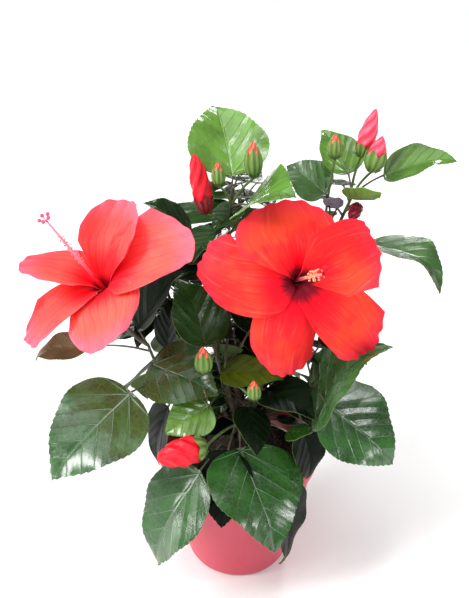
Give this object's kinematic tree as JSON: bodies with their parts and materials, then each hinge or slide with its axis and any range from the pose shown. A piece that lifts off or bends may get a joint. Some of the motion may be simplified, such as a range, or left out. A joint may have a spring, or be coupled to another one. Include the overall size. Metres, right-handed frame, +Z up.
{
  "type": "potted hibiscus shrub",
  "caption": "Small flowering shrub in a round plastic pot, with a short branching stem, broad glossy serrated leaves, spindle buds and large open trumpet blooms.",
  "frame": {"origin": "centre of the pot's flat underside", "axes": "+Z up, +X to the viewer's right, +Y away from the viewer"},
  "size_m": [0.3796, 0.3041, 0.4562],
  "materials": {
    "pot": "satin",
    "soil": "crumbly, damp potting mix",
    "bark": "matt bark",
    "leaf": "glossy leaf",
    "bloom": "soft petal"
  },
  "bodies": {
    "root": {"pot": "pot", "soil": "soil", "trunk": "bark", "bough_leader": "bark", "bough_front": "bark", "bough_top_right": "bark", "bough_back_top": "bark", "bough_centre": "bark", "bough_right": "bark", "bough_back_right": "bark", "bough_back_left": "bark", "bough_left": "bark", "bough_low": "bark", "bough_middle": "bark", "bough_back_low": "bark", "bloom_right": "bloom", "bloom_left": "bloom", "foliage_left": "leaf", "foliage_top_left": "leaf", "foliage_top_right": "leaf", "foliage_centre": "leaf", "foliage_low_front": "leaf", "foliage_right": "leaf", "foliage_middle": "leaf", "foliage_back_left": "leaf", "foliage_back_right": "leaf", "foliage_back_top": "leaf", "foliage_back_low": "leaf"}
  },
  "joints": []
}
